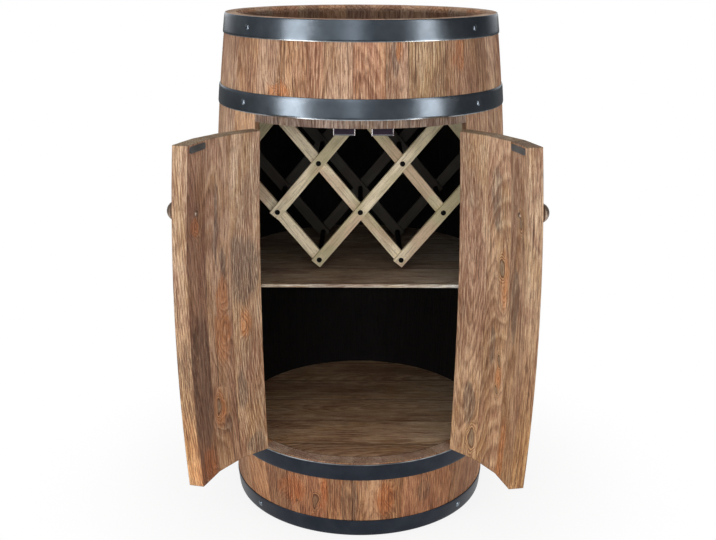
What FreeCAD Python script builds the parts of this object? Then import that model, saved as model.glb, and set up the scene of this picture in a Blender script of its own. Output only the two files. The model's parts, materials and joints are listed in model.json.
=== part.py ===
import FreeCAD, Part
import math
import os

from FreeCAD import Base

# Barrel bar cabinet, in millimetres.
# Own frame: +Z is up, the barrel stands on z = 0 about the Z axis, the doors face -Y, +X is to their right.
# Azimuths are degrees about Z, 0 at the front (-Y) and growing towards +X.
# A "depth" is measured square into the barrel's bulged outer surface; a negative depth stands proud of it.

# ---- driving dimensions ----
HEIGHT = 800.0
BULGE_RADIUS = 235.0
END_RADIUS = 210.0
STAVE_THICKNESS = 22.0
STAVE_BEVEL = 1.0
# The chime: the bevel inside the top end of every stave, radially and in height.
CHIME_WIDTH = 6.0
CHIME_HEIGHT = 10.0

# Joints between staves across the front, from one side of the door opening to the other.
OPENING_HALF_ANGLE = 43.0
FRONT_JOINTS = [-43.0, -31.4, -13.5, -2.9, 9.2, 17.8, 33.5, 43.0]
# Relative widths of the full-height staves, used over and over round the sides and back.
STAVE_PATTERN = [1.0, 0.82, 1.18, 0.92, 1.1]
FULL_STAVES = 19

OPENING_BOTTOM = 134.0
OPENING_TOP = 653.0
# The opening's sides are cut this many degrees off straight back, towards the middle of the barrel.
OPENING_SIDE_ANGLE = 10.0

# Steel hoops: lowest and highest z of each.
HOOP_THICKNESS = 1.6
HOOP_SEAT = 0.03
HOOP_BANDS = {
    "hoop_top": (770.0, 800.0),
    "hoop_upper": (664.0, 693.5),
    "hoop_lower": (103.5, 132.0),
    "hoop_bottom": (0.0, 28.0),
}
RIVET_AZIMUTHS = [50.0, 130.0, 230.0, 310.0]
RIVET_RADIUS = 4.5
RIVET_HEIGHT = 1.8

# Round boards held in grooves in the staves: bottom face, thickness, groove depth.
GROOVE_DEPTH = 5.0
GROOVE_PLAY = 0.1
HEAD_THICKNESS = 15.0
HEAD_BEVEL = 4.0
BOTTOM_HEAD_Z = 38.0
FLOOR_Z = 115.0
CEILING_Z = 690.0
TOP_HEAD_Z = 747.0

# Middle shelf and its cleats.
SHELF_THICKNESS = 5.0
SHELF_TOP_Z = 400.5
SHELF_FRONT_Y = -149.0
SHELF_WALL_GAP = 0.5
CLEAT_HEIGHT = 20.0
CLEAT_DEPTH = 18.0
CLEAT_HALF_ANGLE = 8.0
CLEAT_AZIMUTHS = [62.0, 121.0, 180.0, 239.0, 298.0]

# Wine rack: two flat lattices joined by rods.
RACK_NODE_X = 65.5
RACK_NODE_Z = 78.2
RACK_FIRST_Z = 417.0
SLAT_WIDTH = 17.5
SLAT_THICKNESS = 8.0
RACK_FRONT_Y = -74.0
RACK_BACK_Y = 116.0
RACK_WALL_GAP = 0.3
ROD_RADIUS = 4.1
ROD_PLAY = 0.05
ROD_PROUD = 1.5
# Slats that fall to the right, as (column, row) of two of their crossings; the rising ones mirror them.
# They start at the wall or ceiling; those whose last crossing is a stop are cut off square just past it.
SLAT_RUNS = [((-3, 2), (-1, 0)), ((-2, 3), (1, 0)), ((0, 3), (2, 1)), ((2, 3), (3, 2))]
SLAT_STOPS = [(-1, 0), (1, 0), (2, 1)]
ROD_NODES = [(-1, 0), (1, 0), (-2, 1), (0, 1), (2, 1), (-1, 2), (1, 2), (-2, 3), (0, 3), (2, 3)]

# Doors: three bulged boards each, flat across their width.
BOARDS_PER_DOOR = 3
DOOR_BOTTOM = 148.0
DOOR_TOP = 646.0
DOOR_FREE_ANGLE = 0.25
DOOR_HINGE_ANGLE = 42.6
LEFT_OPEN_ANGLE = 103.0
RIGHT_OPEN_ANGLE = 99.5

# Hinges: two a door, their knuckles outside the bulge so that the pins stay plumb.
HINGE_AXIS_ANGLE = 42.8
HINGE_AXIS_RADIUS = 236.3
HINGE_HEIGHTS = [240.0, 560.0]
LEAF_HEIGHT = 50.0
LEAF_THICKNESS = 1.6
LEAF_SEAT = 0.02
FRAME_LEAF_ANGLES = (43.9, 49.4)
DOOR_LEAF_ANGLES = (36.4, 42.0)
KNUCKLE_RADIUS = 3.0
KNUCKLE_GAP = 0.3
WEB_THICKNESS = 1.4
WEB_DEPTH = 5.0
WEB_OVERLAP_ANGLE = 0.1
PIN_RADIUS = 1.5
PIN_PLAY = 0.05
PIN_HEAD_RADIUS = 2.6
PIN_HEAD_HEIGHT = 1.6
SCREW_RADIUS = 1.5
SCREW_PLAY = 0.05
SCREW_HEAD_RADIUS = 3.0
SCREW_HEAD_HEIGHT = 1.6
SCREW_LENGTH = 14.0
SCREW_INSET = 11.0
# Holes are drilled this far past what they go through, or beyond the end of their screw.
DRILL_RUN = 4.0
DRILL_END_GAP = 1.0

# Knobs.
KNOB_Z = 550.0
KNOB_NECK_RADIUS = 7.0
KNOB_NECK_HEIGHT = 8.0
KNOB_RADIUS = 14.0
KNOB_RIM = 2.0
KNOB_CROWN = 11.0
KNOB_BORE_DEPTH = 10.0
KNOB_SCREW_RADIUS = 2.0
KNOB_SCREW_HEAD_RADIUS = 4.0
KNOB_SCREW_BITE = 9.0

# Magnetic catches and the plates that meet them.
PLATE_HEIGHT = 9.0
PLATE_THICKNESS = 1.5
PLATE_ANGLES = (1.7, 13.4)
PLATE_BELOW_TOP = 2.5
PLATE_ROUNDING = 3.0
CATCH_RAIL_DEPTH = 16.0
CATCH_RAIL_HEIGHT = 20.0
CATCH_RAIL_HALF_ANGLE = 38.0
CATCH_RAIL_Z = 656.0
CATCH_WIDTH = 32.0
CATCH_DEPTH = 14.0
CATCH_BOTTOM = 638.5
# The pair of catches is centred a little to the right of the doors' meeting line.
CATCH_MIDDLE_X = 4.0
CATCH_SPREAD = 27.5
CATCH_FRONT_Y = -195.8
MAGNET_WIDTH = 28.0
MAGNET_HEIGHT = 9.0
MAGNET_RECESS = 2.0
MAGNET_PLAY = 0.05
CATCH_ROUNDING = 1.5

# ---- values that follow ----
MIDDLE = HEIGHT / 2
SAGITTA = BULGE_RADIUS - END_RADIUS
ARC_RADIUS = (MIDDLE**2 + SAGITTA**2) / (2 * SAGITTA)
ARC_CENTRE = BULGE_RADIUS - ARC_RADIUS
BOARD_ANGLE = (DOOR_HINGE_ANGLE - DOOR_FREE_ANGLE) / BOARDS_PER_DOOR
# A flat board whose long edges lie on the bulge is this much inside it along its middle.
BOARD_SET_IN = BULGE_RADIUS * (1 - math.cos(math.radians(BOARD_ANGLE / 2)))
BOARD_INSIDE = BOARD_SET_IN + STAVE_THICKNESS

UP = Base.Vector(0, 0, 1)
BACK = Base.Vector(0, 1, 0)
ORIGIN = Base.Vector(0, 0, 0)


# ---- places on the barrel ----
def radius_at(z, depth=0.0):
    """Radius of the bulged surface at height z, depth millimetres into the wood."""
    return ARC_CENTRE + math.sqrt((ARC_RADIUS - depth) ** 2 - (z - MIDDLE) ** 2)


def polar(radius, azimuth, z=0.0):
    a = math.radians(azimuth)
    return Base.Vector(radius * math.sin(a), -radius * math.cos(a), z)


def outward(azimuth, z):
    """Unit vector square to the bulged surface, pointing out."""
    lean = math.asin((z - MIDDLE) / ARC_RADIUS)
    flat = polar(math.cos(lean), azimuth)
    return Base.Vector(flat.x, flat.y, math.sin(lean))


def hinge_foot(side):
    return polar(HINGE_AXIS_RADIUS, side * HINGE_AXIS_ANGLE)


# ---- shapes that follow the bulge ----
def bulged_face(depth_in, depth_out, z0, z1):
    """The strip between two depths of the bulge, in the half plane through +X."""
    zm = (z0 + z1) / 2
    outer = [Base.Vector(radius_at(z, depth_out), 0, z) for z in (z0, zm, z1)]
    inner = [Base.Vector(radius_at(z, depth_in), 0, z) for z in (z1, zm, z0)]
    edges = [
        Part.Arc(*outer).toShape(),
        Part.LineSegment(outer[2], inner[0]).toShape(),
        Part.Arc(*inner).toShape(),
        Part.LineSegment(inner[2], outer[0]).toShape(),
    ]
    return Part.Face(Part.Wire(edges))


def shell_sector(depth_in, depth_out, z0, z1, az0, az1):
    """Part of the barrel's wall, turned about Z from az0 to az1."""
    face = bulged_face(depth_in, depth_out, z0, z1)
    face.rotate(ORIGIN, UP, az0 - 90.0)
    return face.revolve(ORIGIN, UP, az1 - az0)


def wedge(az0, az1, z0, z1):
    """A slice of cake larger than the barrel, to trim boards on radial planes."""
    reach = 2 * BULGE_RADIUS
    corners = [ORIGIN, polar(reach, az0), polar(reach, az1), ORIGIN]
    slice_of_cake = Part.Face(Part.makePolygon(corners)).extrude(UP * (z1 - z0))
    slice_of_cake.translate(UP * z0)
    return slice_of_cake


def bent_board(depth_in, depth_out, z0, z1, az0, az1, facing):
    """A board bent along the bulge but flat across, square to the azimuth `facing`."""
    half = BULGE_RADIUS * math.tan(math.radians(BOARD_ANGLE))
    face = bulged_face(depth_in, depth_out, z0, z1)
    face.translate(Base.Vector(0, -half, 0))
    board = face.extrude(Base.Vector(0, 2 * half, 0))
    board.rotate(ORIGIN, UP, facing - 90.0)
    return board.common(wedge(az0, az1, z0, z1))


def round_board(radius, z0, thickness, bevel=0.0):
    """A round board; its rim is bevelled on both faces where it has a bevel."""
    board = Part.makeCylinder(radius, thickness, UP * z0)
    if bevel:
        rims = [e for e in board.Edges if isinstance(e.Curve, Part.Circle)]
        board = board.makeChamfer(bevel, rims)
    return board


def bevel_long_edges(solid, bevel):
    """Eases the two long outer edges of a stave or door board."""
    tall = [e for e in solid.Edges if e.BoundBox.ZLength > 0.9 * solid.BoundBox.ZLength]
    tall.sort(key=lambda e: -math.hypot(e.CenterOfMass.x, e.CenterOfMass.y))
    return solid.makeChamfer(bevel, tall[:2])


def groove_ring(z0, thickness):
    """What a round board's groove takes out of the staves."""
    reach = groove_radius(z0, thickness) + GROOVE_PLAY
    return Part.makeCylinder(reach, thickness + 2 * GROOVE_PLAY, UP * (z0 - GROOVE_PLAY))


def groove_radius(z0, thickness):
    return radius_at(z0 + thickness / 2, STAVE_THICKNESS) + GROOVE_DEPTH


# ---- the barrel ----
GROOVED_BOARDS = [BOTTOM_HEAD_Z, FLOOR_Z, CEILING_Z, TOP_HEAD_Z]


def stave(az0, az1, z0, z1):
    """One stave: bulged, grooved for the round boards that it crosses, with eased outer edges."""
    piece = shell_sector(STAVE_THICKNESS, 0.0, z0, z1, az0, az1)
    piece = bevel_long_edges(piece, STAVE_BEVEL)
    for z in GROOVED_BOARDS:
        if z0 < z < z1:
            piece = piece.cut(groove_ring(z, HEAD_THICKNESS))
    if z1 == HEIGHT:
        piece = piece.cut(chime_cone())
    return piece


def chime_cone():
    """What the chime takes out of the top of the staves."""
    base = HEIGHT - CHIME_HEIGHT
    narrow = radius_at(base, STAVE_THICKNESS)
    wide = radius_at(HEIGHT, STAVE_THICKNESS) + CHIME_WIDTH
    return Part.makeCone(narrow, wide, CHIME_HEIGHT, UP * base)


def opening_side(side):
    """What the side of the opening takes out of its full-height stave, from its outer edge inwards."""
    heights = (OPENING_BOTTOM, MIDDLE, OPENING_TOP)
    edge = [polar(radius_at(z), side * OPENING_HALF_ANGLE, z) for z in heights]
    inward = polar(-2 * STAVE_THICKNESS, side * OPENING_SIDE_ANGLE)
    ahead = polar(2 * STAVE_THICKNESS, side * (OPENING_HALF_ANGLE - 90.0))
    return Part.Arc(*edge).toShape().extrude(inward).extrude(ahead)


def full_stave_joints():
    """Azimuths of the joints between full-height staves, from the right of the opening to its left."""
    weights = [STAVE_PATTERN[i % len(STAVE_PATTERN)] for i in range(FULL_STAVES)]
    span = 360.0 - 2 * OPENING_HALF_ANGLE
    joints = [OPENING_HALF_ANGLE]
    for weight in weights:
        joints.append(joints[-1] + span * weight / sum(weights))
    return joints


def front_staves(z0, z1):
    """The short staves above or below the opening, one solid each."""
    return [stave(a, b, z0, z1) for a, b in zip(FRONT_JOINTS, FRONT_JOINTS[1:])]


def hoop(z0, z1):
    return shell_sector(-HOOP_SEAT, -HOOP_SEAT - HOOP_THICKNESS, z0, z1, 0.0, 360.0)


def dome(radius, height, base, axis):
    """A shallow domed head standing on `base` along `axis`."""
    ball = (radius**2 + height**2) / (2 * height)
    shape = Part.makeSphere(ball, ORIGIN, UP, math.degrees(math.asin((ball - height) / ball)), 90, 360)
    shape.translate(UP * (height - ball))
    return stand(shape, base, axis)


def stand(shape, base, axis):
    """Moves a shape built on the origin along +Z so that it stands on `base` along `axis`."""
    turned = shape.copy()
    turned.Placement = FreeCAD.Placement(base, FreeCAD.Rotation(UP, axis)).multiply(turned.Placement)
    return turned


def hoop_rivets():
    heads = []
    for z0, z1 in HOOP_BANDS.values():
        z = (z0 + z1) / 2
        for azimuth in RIVET_AZIMUTHS:
            proud = HOOP_SEAT + HOOP_THICKNESS + HOOP_SEAT
            base = polar(radius_at(z), azimuth, z) + outward(azimuth, z) * proud
            heads.append(dome(RIVET_RADIUS, RIVET_HEIGHT, base, outward(azimuth, z)))
    return heads


def grooved_board(z0, bevel=0.0):
    return round_board(groove_radius(z0, HEAD_THICKNESS), z0, HEAD_THICKNESS, bevel)


def middle_shelf():
    bottom = SHELF_TOP_Z - SHELF_THICKNESS
    radius = radius_at(bottom, STAVE_THICKNESS) - SHELF_WALL_GAP
    board = Part.makeCylinder(radius, SHELF_THICKNESS, UP * bottom)
    keep = Part.makeBox(2 * radius, 2 * radius, SHELF_THICKNESS, Base.Vector(-radius, SHELF_FRONT_Y, bottom))
    return board.common(keep)


def cleat(depth, z0, z1, azimuth, half_angle):
    """A curved batten against the inside of the staves."""
    wall = STAVE_THICKNESS + HOOP_SEAT
    return shell_sector(wall + depth, wall, z0, z1, azimuth - half_angle, azimuth + half_angle)


def shelf_cleats():
    top = SHELF_TOP_Z - SHELF_THICKNESS
    return [cleat(CLEAT_DEPTH, top - CLEAT_HEIGHT, top, a, CLEAT_HALF_ANGLE) for a in CLEAT_AZIMUTHS]


def catch_rail():
    """The batten behind the top of the opening that the catches hang from."""
    top = CATCH_RAIL_Z + CATCH_RAIL_HEIGHT
    return cleat(CATCH_RAIL_DEPTH, CATCH_RAIL_Z, top, 0.0, CATCH_RAIL_HALF_ANGLE)


# ---- the wine rack ----
def rack_node(column, row):
    return column * RACK_NODE_X, RACK_FIRST_Z + row * RACK_NODE_Z


def rack_room():
    """The space that the rack fills: between shelf and ceiling, inside the staves."""
    depth = STAVE_THICKNESS + RACK_WALL_GAP
    z0, z1 = SHELF_TOP_Z, CEILING_Z
    side = [Base.Vector(radius_at(z, depth), 0, z) for z in (z0, (z0 + z1) / 2, z1)]
    edges = [
        Part.LineSegment(UP * z0, side[0]).toShape(),
        Part.Arc(*side).toShape(),
        Part.LineSegment(side[2], UP * z1).toShape(),
        Part.LineSegment(UP * z1, UP * z0).toShape(),
    ]
    return Part.Face(Part.Wire(edges)).revolve(ORIGIN, UP, 360.0)


def slat(first, last, y0):
    """One slat through its first and last crossing, made long and cut later by the room it fills."""
    x0, z0 = rack_node(*first)
    x1, z1 = rack_node(*last)
    length = math.hypot(x1 - x0, z1 - z0)
    past = 4 * SLAT_WIDTH
    bar = Part.makeBox(
        length + 2 * past, SLAT_THICKNESS, SLAT_WIDTH, Base.Vector(-past, 0, -SLAT_WIDTH / 2)
    )
    bar.rotate(ORIGIN, BACK, -math.degrees(math.atan2(z1 - z0, x1 - x0)))
    bar.translate(Base.Vector(x0, y0, z0))
    return bar


def stop_past(bar, first, last):
    """Cuts a slat off square, just past its last crossing."""
    x0, z0 = rack_node(*first)
    x1, z1 = rack_node(*last)
    along = Base.Vector(x1 - x0, 0, z1 - z0).normalize()
    reach = 8 * SLAT_WIDTH
    block = Part.makeBox(reach, reach, reach, Base.Vector(-reach / 2, -reach / 2, 0))
    base = Base.Vector(x1, bar.BoundBox.Center.y, z1) + along * (SLAT_WIDTH / 2)
    return bar.cut(stand(block, base, along))


def slat_layer(y0, mirrored):
    """All slats of one direction in one lattice, drilled for the rods."""
    room = rack_room()
    sign = -1 if mirrored else 1
    slats = []
    for run in SLAT_RUNS:
        first, last = [(sign * column, row) for column, row in run]
        bar = slat(first, last, y0)
        if run[1] in SLAT_STOPS:
            bar = stop_past(bar, first, last)
        bar = bar.common(room)
        for column, row in ROD_NODES:
            x, z = rack_node(column, row)
            start = Base.Vector(x, y0 - DRILL_RUN, z)
            drill = Part.makeCylinder(ROD_RADIUS + ROD_PLAY, SLAT_THICKNESS + 2 * DRILL_RUN, start, BACK)
            bar = bar.cut(drill)
        slats += bar.Solids
    return slats


def rack_rods():
    rods = []
    start = RACK_FRONT_Y - ROD_PROUD
    length = RACK_BACK_Y + ROD_PROUD - start
    for column, row in ROD_NODES:
        x, z = rack_node(column, row)
        rod = Part.makeCylinder(ROD_RADIUS, length, Base.Vector(x, start, z), BACK)
        rims = [e for e in rod.Edges if isinstance(e.Curve, Part.Circle)]
        rods.append(rod.makeChamfer(ROD_PROUD / 2, rims))
    return rods


# ---- hinges ----
def leaf_bottoms():
    return [z - LEAF_HEIGHT / 2 for z in HINGE_HEIGHTS]


def screw_heights():
    """Heights of the hinge screws: two in every leaf."""
    heights = []
    for z in leaf_bottoms():
        heights += [z + SCREW_INSET, z + LEAF_HEIGHT - SCREW_INSET]
    return heights


def leaf_screw_frame(side, on_frame, z):
    """Where a leaf screw's head sits on its leaf, and which way is out."""
    if on_frame:
        azimuth = side * sum(FRAME_LEAF_ANGLES) / 2
        facing = azimuth
        surface = 0.0
    else:
        azimuth = side * sum(DOOR_LEAF_ANGLES) / 2
        facing = side * board_facing(BOARDS_PER_DOOR - 1)
        surface = BOARD_SET_IN
    out = outward(facing, z)
    # On a flat board the point slides sideways along the board from the line that it faces.
    aside = math.tan(math.radians(azimuth - facing)) * radius_at(z, surface)
    across = Base.Vector(math.cos(math.radians(facing)), math.sin(math.radians(facing)), 0)
    return polar(radius_at(z, surface), facing, z) + across * aside, out


def pan_screw(base, out, seat):
    """A screw with a domed head resting on `seat` millimetres above `base`."""
    head_base = base + out * seat
    head = dome(SCREW_HEAD_RADIUS, SCREW_HEAD_HEIGHT, head_base, out)
    shank = Part.makeCylinder(SCREW_RADIUS, SCREW_LENGTH, head_base, out * -1)
    return head.fuse(shank)


def screw_drill(base, out):
    length = DRILL_RUN + SCREW_LENGTH + DRILL_END_GAP
    return Part.makeCylinder(SCREW_RADIUS + SCREW_PLAY, length, base + out * DRILL_RUN, out * -1)


def leaf_drills(side, on_frame):
    return [screw_drill(*leaf_screw_frame(side, on_frame, z)) for z in screw_heights()]


def knuckle_spans(z0):
    """Bottom, middle and top thirds of a leaf: the frame has the outer two, the door the middle one."""
    third = LEAF_HEIGHT / 3
    bottom = (z0, z0 + third - KNUCKLE_GAP / 2)
    middle = (z0 + third + KNUCKLE_GAP / 2, z0 + 2 * third - KNUCKLE_GAP / 2)
    top = (z0 + 2 * third + KNUCKLE_GAP / 2, z0 + LEAF_HEIGHT)
    return bottom, middle, top


def knuckle(side, z0, z1, leaf_azimuth, wood):
    """One barrel of a hinge with the web that joins it to its leaf, trimmed clear of the wood."""
    foot = hinge_foot(side)
    barrel = Part.makeCylinder(KNUCKLE_RADIUS, z1 - z0, foot + UP * z0)
    web_top = radius_at(z0) + WEB_THICKNESS
    web_root = radius_at(z0) - WEB_DEPTH
    corners = [
        foot,
        polar(web_top, leaf_azimuth),
        polar(web_root, leaf_azimuth),
        polar(web_root, side * HINGE_AXIS_ANGLE),
        foot,
    ]
    web = Part.Face(Part.makePolygon(corners)).extrude(UP * (z1 - z0))
    web.translate(UP * z0)
    return barrel.fuse(web.cut(wood))


def hinge_leaf(side, z0, on_frame):
    """A leaf on the bulge with its knuckles, drilled for the pin and two screws."""
    z1 = z0 + LEAF_HEIGHT
    outer = -LEAF_SEAT - LEAF_THICKNESS
    low, high = z0 - DRILL_RUN, z1 + DRILL_RUN
    if on_frame:
        a, b = sorted(side * angle for angle in FRAME_LEAF_ANGLES)
        plate = shell_sector(-LEAF_SEAT, outer, z0, z1, a, b)
        wall = sorted((side * DOOR_LEAF_ANGLES[0], side * FRAME_LEAF_ANGLES[1]))
        wood = shell_sector(STAVE_THICKNESS, -LEAF_SEAT, low, high, *wall)
        root = side * (FRAME_LEAF_ANGLES[0] + WEB_OVERLAP_ANGLE)
        spans = [knuckle_spans(z0)[0], knuckle_spans(z0)[2]]
    else:
        facing = side * board_facing(BOARDS_PER_DOOR - 1)
        a, b = sorted(side * angle for angle in DOOR_LEAF_ANGLES)
        plate = bent_board(BOARD_SET_IN - LEAF_SEAT, BOARD_SET_IN + outer, z0, z1, a, b, facing)
        slab = sorted((side * DOOR_LEAF_ANGLES[0], side * FRAME_LEAF_ANGLES[0]))
        wood = bent_board(BOARD_INSIDE, BOARD_SET_IN - LEAF_SEAT, low, high, *slab, facing)
        root = side * (DOOR_LEAF_ANGLES[1] - WEB_OVERLAP_ANGLE)
        spans = [knuckle_spans(z0)[1]]
    leaf = plate
    for span in spans:
        leaf = leaf.fuse(knuckle(side, *span, root, wood))
    bore = Part.makeCylinder(PIN_RADIUS + PIN_PLAY, high - low, hinge_foot(side) + UP * low)
    leaf = leaf.cut(bore)
    for drill in leaf_drills(side, on_frame):
        leaf = leaf.cut(drill)
    return leaf.removeSplitter()


def hinge_pin(side, z0):
    """A pin with a domed head at each end, resting on the knuckles."""
    low = hinge_foot(side) + UP * z0
    high = low + UP * LEAF_HEIGHT
    pin = Part.makeCylinder(PIN_RADIUS, LEAF_HEIGHT, low)
    pin = pin.fuse(dome(PIN_HEAD_RADIUS, PIN_HEAD_HEIGHT, high, UP))
    return pin.fuse(dome(PIN_HEAD_RADIUS, PIN_HEAD_HEIGHT, low, UP * -1))


# ---- doors, modelled shut and then swung open ----
def board_facing(number):
    """Azimuth that a door board faces, counted from the free edge."""
    return DOOR_FREE_ANGLE + (number + 0.5) * BOARD_ANGLE


def knob_frame(side):
    """Where the knob stands on the outside of the free board, which way is out, and the same place inside."""
    facing = side * board_facing(0)
    out = outward(facing, KNOB_Z)
    outside = polar(radius_at(KNOB_Z, BOARD_SET_IN), facing, KNOB_Z)
    return outside, out, outside - out * STAVE_THICKNESS


def door_board(side, number):
    ends = sorted(side * (DOOR_FREE_ANGLE + (number + k) * BOARD_ANGLE) for k in (0, 1))
    facing = side * board_facing(number)
    board = bent_board(BOARD_INSIDE, BOARD_SET_IN, DOOR_BOTTOM, DOOR_TOP, *ends, facing)
    board = bevel_long_edges(board, STAVE_BEVEL)
    if number == 0:
        _, out, inside = knob_frame(side)
        bore = Part.makeCylinder(
            KNOB_SCREW_RADIUS + SCREW_PLAY, STAVE_THICKNESS + 2 * DRILL_RUN, inside - out * DRILL_RUN, out
        )
        board = board.cut(bore)
    if number == BOARDS_PER_DOOR - 1:
        for drill in leaf_drills(side, False):
            board = board.cut(drill)
    return board


def knob(side):
    """A turned knob: a neck under a domed grip, with a blind hole for its screw."""
    rim_top = KNOB_NECK_HEIGHT + KNOB_RIM
    turned = Part.makeCylinder(KNOB_NECK_RADIUS, KNOB_NECK_HEIGHT)
    turned = turned.fuse(Part.makeCone(KNOB_RADIUS - KNOB_RIM, KNOB_RADIUS, KNOB_RIM, UP * KNOB_NECK_HEIGHT))
    turned = turned.fuse(dome(KNOB_RADIUS, KNOB_CROWN, UP * rim_top, UP))
    turned = turned.cut(Part.makeCylinder(KNOB_SCREW_RADIUS + SCREW_PLAY, KNOB_BORE_DEPTH))
    outside, out, _ = knob_frame(side)
    return stand(turned, outside + out * LEAF_SEAT, out)


def knob_screw(side):
    """The screw through the free board into its knob, with a domed head on the inside."""
    _, out, inside = knob_frame(side)
    seat = inside - out * LEAF_SEAT
    head = dome(KNOB_SCREW_HEAD_RADIUS, SCREW_HEAD_HEIGHT, seat, out * -1)
    shank = Part.makeCylinder(KNOB_SCREW_RADIUS, STAVE_THICKNESS + KNOB_SCREW_BITE, seat, out)
    return head.fuse(shank)


def strike_plate(side):
    a, b = sorted(side * angle for angle in PLATE_ANGLES)
    top = DOOR_TOP - PLATE_BELOW_TOP
    depth = BOARD_INSIDE + LEAF_SEAT
    facing = side * board_facing(0)
    plate = bent_board(depth + PLATE_THICKNESS, depth, top - PLATE_HEIGHT, top, a, b, facing)
    corners = [e for e in plate.Edges if e.Length < 2 * PLATE_THICKNESS]
    return plate.makeFillet(PLATE_ROUNDING, corners)


def swing(shape, side, angle):
    """Opens a door piece about its own hinge pins."""
    opened = shape.copy()
    opened.rotate(hinge_foot(side), UP, side * angle)
    return opened


# ---- catches ----
def catch_x(side):
    return CATCH_MIDDLE_X + side * CATCH_SPREAD


def catch_housing(side):
    corner = Base.Vector(catch_x(side) - CATCH_WIDTH / 2, CATCH_FRONT_Y, CATCH_BOTTOM)
    body = Part.makeBox(CATCH_WIDTH, CATCH_DEPTH, CATCH_RAIL_Z - CATCH_BOTTOM, corner)
    uprights = [e for e in body.Edges if e.BoundBox.ZLength > CATCH_ROUNDING]
    body = body.makeFillet(CATCH_ROUNDING, uprights)
    return body.cut(magnet_block(side, MAGNET_PLAY))


def magnet_block(side, play):
    width = MAGNET_WIDTH + 2 * play
    height = MAGNET_HEIGHT + 2 * play
    z = CATCH_BOTTOM + MAGNET_RECESS - play
    corner = Base.Vector(catch_x(side) - width / 2, CATCH_FRONT_Y, z)
    return Part.makeBox(width, CATCH_DEPTH / 2, height, corner)


def export(name, solids):
    shape = solids[0] if len(solids) == 1 else Part.makeCompound(solids)
    shape.exportStep("parts/" + name + ".step")


def main():
    os.makedirs("parts", exist_ok=True)

    joints = full_stave_joints()
    beside_opening = {1: 1, FULL_STAVES: -1}
    for number, (az0, az1) in enumerate(zip(joints, joints[1:]), start=1):
        piece = stave(az0, az1, 0.0, HEIGHT)
        if number in beside_opening:
            side = beside_opening[number]
            for tool in leaf_drills(side, True) + [opening_side(side)]:
                piece = piece.cut(tool)
        export("stave_%02d" % number, [piece])
    export("upper_front_staves", front_staves(OPENING_TOP, HEIGHT))
    export("lower_front_staves", front_staves(0.0, OPENING_BOTTOM))

    for name, (z0, z1) in HOOP_BANDS.items():
        export(name, [hoop(z0, z1)])
    export("hoop_rivets", hoop_rivets())

    export("bottom_head", [grooved_board(BOTTOM_HEAD_Z, HEAD_BEVEL)])
    export("floor_board", [grooved_board(FLOOR_Z)])
    export("ceiling_board", [grooved_board(CEILING_Z)])
    export("top_head", [grooved_board(TOP_HEAD_Z, HEAD_BEVEL)])
    export("middle_shelf", [middle_shelf()])
    export("shelf_cleats", shelf_cleats())

    export("front_rising_slats", slat_layer(RACK_FRONT_Y, True))
    export("front_falling_slats", slat_layer(RACK_FRONT_Y + SLAT_THICKNESS, False))
    export("rear_falling_slats", slat_layer(RACK_BACK_Y - 2 * SLAT_THICKNESS, False))
    export("rear_rising_slats", slat_layer(RACK_BACK_Y - SLAT_THICKNESS, True))
    export("rack_rods", rack_rods())

    export("catch_rail", [catch_rail()])
    export("catch_housings", [catch_housing(-1), catch_housing(1)])
    export("catch_magnets", [magnet_block(-1, 0.0), magnet_block(1, 0.0)])

    sides = (-1, 1)
    export("barrel_hinge_leaves", [hinge_leaf(s, z, True) for s in sides for z in leaf_bottoms()])
    export("hinge_pins", [hinge_pin(s, z) for s in sides for z in leaf_bottoms()])
    seat = LEAF_SEAT + LEAF_THICKNESS + LEAF_SEAT
    barrel_screws = [
        pan_screw(*leaf_screw_frame(s, True, z), seat) for s in sides for z in screw_heights()
    ]
    export("barrel_hinge_screws", barrel_screws)

    for name, side, angle in (("left", -1, LEFT_OPEN_ANGLE), ("right", 1, RIGHT_OPEN_ANGLE)):
        for number in range(BOARDS_PER_DOOR):
            board = swing(door_board(side, number), side, angle)
            export("%s_door_board_%d" % (name, number + 1), [board])
        leaves = [swing(hinge_leaf(side, z, False), side, angle) for z in leaf_bottoms()]
        export(name + "_hinge_leaves", leaves)
        screws = [pan_screw(*leaf_screw_frame(side, False, z), seat) for z in screw_heights()]
        export(name + "_hinge_screws", [swing(s, side, angle) for s in screws])
        export(name + "_knob", [swing(knob(side), side, angle)])
        export(name + "_knob_screw", [swing(knob_screw(side), side, angle)])
        export(name + "_strike_plate", [swing(strike_plate(side), side, angle)])


main()
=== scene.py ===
"""The looks of a barrel bar cabinet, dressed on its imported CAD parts.

Metres, +Z up, the barrel stands on z = 0 about the Z axis and its doors face -Y.
Azimuths are degrees about Z, 0 at the front (-Y) and growing towards +X.
"""

import json
import math

import bpy
import numpy as np
from mathutils import Matrix, Vector


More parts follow.
